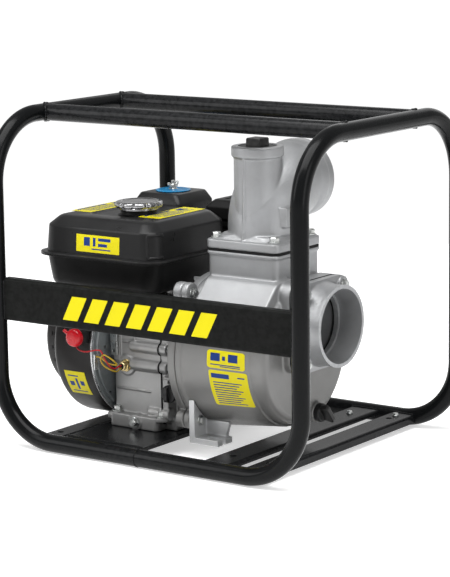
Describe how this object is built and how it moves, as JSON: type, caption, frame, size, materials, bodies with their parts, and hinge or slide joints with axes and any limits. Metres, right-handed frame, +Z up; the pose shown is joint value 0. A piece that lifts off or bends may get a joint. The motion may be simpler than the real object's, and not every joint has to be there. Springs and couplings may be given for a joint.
{
  "type": "gas engine trash pump",
  "caption": "Self-priming trash pump driven by a petrol engine on one shaft, in a loop frame of bent tube, with large suction and discharge ports.",
  "frame": {"origin": "on the ground, under the middle of the tube frame", "axes": "+X from the recoil starter to the suction port, +Y to the rear where the discharge port faces, +Z up"},
  "size_m": [0.5562, 0.4398, 0.4924],
  "materials": {
    "black_paint": "gloss black paint",
    "tank_paint": "semi-gloss charcoal paint",
    "cast": "as-cast, satin",
    "engine_cast": "die-cast, satin",
    "zinc": "zinc plated",
    "chrome": "polished",
    "brass": "satin",
    "black_plastic": "moulded",
    "rubber": "matte",
    "red_plastic": "moulded",
    "yellow_plastic": "wire insulation"
  },
  "bodies": {
    "pump_set": {"adapter": "cast", "air_cleaner_base": "black_plastic", "air_cleaner_cover": "tank_paint", "baffle_plate": "zinc", "carburettor": "engine_cast", "crankcase": "engine_cast", "crankcase_cover": "engine_cast", "cross_bar_left": "black_paint", "cross_bar_right": "black_paint", "cross_channel": "black_paint", "cylinder_head": "engine_cast", "discharge_casting": "cast", "ear_bolt_1": "zinc", "ear_bolt_2": "zinc", "engine_plate": "black_paint", "fan_shroud": "black_paint", "frame_loop_left": "black_paint", "frame_loop_right": "black_paint", "front_panel": "black_paint", "lead_clip": "zinc", "muffler": "black_paint", "muffler_guard": "black_paint", "neck_bolt_1": "zinc", "neck_bolt_2": "zinc", "neck_bolt_3": "zinc", "neck_bolt_4": "zinc", "neck_gasket": "rubber", "oil_drain_bolt": "zinc", "pump_casing": "cast", "pump_foot": "cast", "recoil_cover": "black_paint", "rocker_cover": "black_paint", "sensor_gland": "brass", "sensor_lead": "yellow_plastic", "shaft_seal": "rubber", "spark_plug": "rubber", "stop_lead": "red_plastic", "suction_flange": "cast", "suction_gasket": "rubber", "switch_box": "black_plastic", "tank_lower": "black_paint", "tank_upper": "tank_paint", "top_rail_front": "black_paint", "top_rail_rear": "black_paint", "volute_insert": "cast"},
    "rotor": {"crankshaft": "zinc", "flywheel": "engine_cast", "impeller": "cast"},
    "fuel_cap": {"fuel_cap": "chrome"},
    "filler_plug": {"filler_plug": "black_plastic"},
    "drain_plug": {"drain_plug": "black_plastic"},
    "oil_plug": {"oil_plug": "black_plastic"},
    "wing_nut": {"wing_nut": "zinc"},
    "switch_knob": {"switch_knob": "red_plastic"},
    "choke_lever": {"choke_lever": "black_plastic"},
    "fuel_valve_lever": {"fuel_valve_lever": "black_plastic"},
    "throttle_lever": {"throttle_lever": "zinc"},
    "recoil_grip": {"recoil_grip": "black_plastic"},
    "flap_valve": {"flap_valve": "rubber"},
    "piston": {"piston": "engine_cast"}
  },
  "joints": [
    {"name": "rotor_spin", "type": "hinge", "parent": "pump_set", "child": "rotor", "pos_m": [0, -0.03, 0.142], "axis": [1, 0, 0], "continuous": true},
    {"name": "fuel_cap_turn", "type": "hinge", "parent": "pump_set", "child": "fuel_cap", "pos_m": [-0.12, -0.055, 0.34], "axis": [0, 0, 1], "range_deg": [0, 90]},
    {"name": "filler_plug_turn", "type": "hinge", "parent": "pump_set", "child": "filler_plug", "pos_m": [0.084, -0.042, 0.445], "axis": [0, 0, 1], "range_deg": [0, 360]},
    {"name": "drain_plug_turn", "type": "hinge", "parent": "pump_set", "child": "drain_plug", "pos_m": [0.1643, -0.012, 0.062], "axis": [1, 0, 0], "range_deg": [0, 360]},
    {"name": "oil_plug_turn", "type": "hinge", "parent": "pump_set", "child": "oil_plug", "pos_m": [-0.0318, -0.1, 0.083], "axis": [0, -1, 0], "range_deg": [0, 360]},
    {"name": "wing_nut_turn", "type": "hinge", "parent": "pump_set", "child": "wing_nut", "pos_m": [-0.178, 0.106, 0.3448], "axis": [0, 0, 1], "range_deg": [0, 360]},
    {"name": "switch_turn", "type": "hinge", "parent": "pump_set", "child": "switch_knob", "pos_m": [-0.158, -0.1605, 0.163], "axis": [0, 1, 0], "range_deg": [0, 60]},
    {"name": "choke_swing", "type": "hinge", "parent": "pump_set", "child": "choke_lever", "pos_m": [-0.1906, 0.102, 0.234], "axis": [1, 0, 0], "range_deg": [-20, 25]},
    {"name": "fuel_valve_swing", "type": "hinge", "parent": "pump_set", "child": "fuel_valve_lever", "pos_m": [-0.1906, 0.092, 0.214], "axis": [1, 0, 0], "range_deg": [-60, 0]},
    {"name": "throttle_swing", "type": "hinge", "parent": "pump_set", "child": "throttle_lever", "pos_m": [-0.045, 0.048, 0.204], "axis": [1, 0, 0], "range_deg": [-20, 20]},
    {"name": "starter_pull", "type": "slide", "parent": "pump_set", "child": "recoil_grip", "axis": [-0.8805, -0.3302, 0.3402], "range_m": [0, 0.45], "stiffness_N_per_m": 10, "springref_m": -0.05},
    {"name": "flap_swing", "type": "hinge", "parent": "pump_set", "child": "flap_valve", "pos_m": [0.1704, -0.03, 0.243], "axis": [0, 1, 0], "range_deg": [0, 50]},
    {"name": "piston_slide", "type": "slide", "parent": "pump_set", "child": "piston", "axis": [0, 0.9063, 0.4226], "range_m": [-0.048, 0.004]}
  ]
}
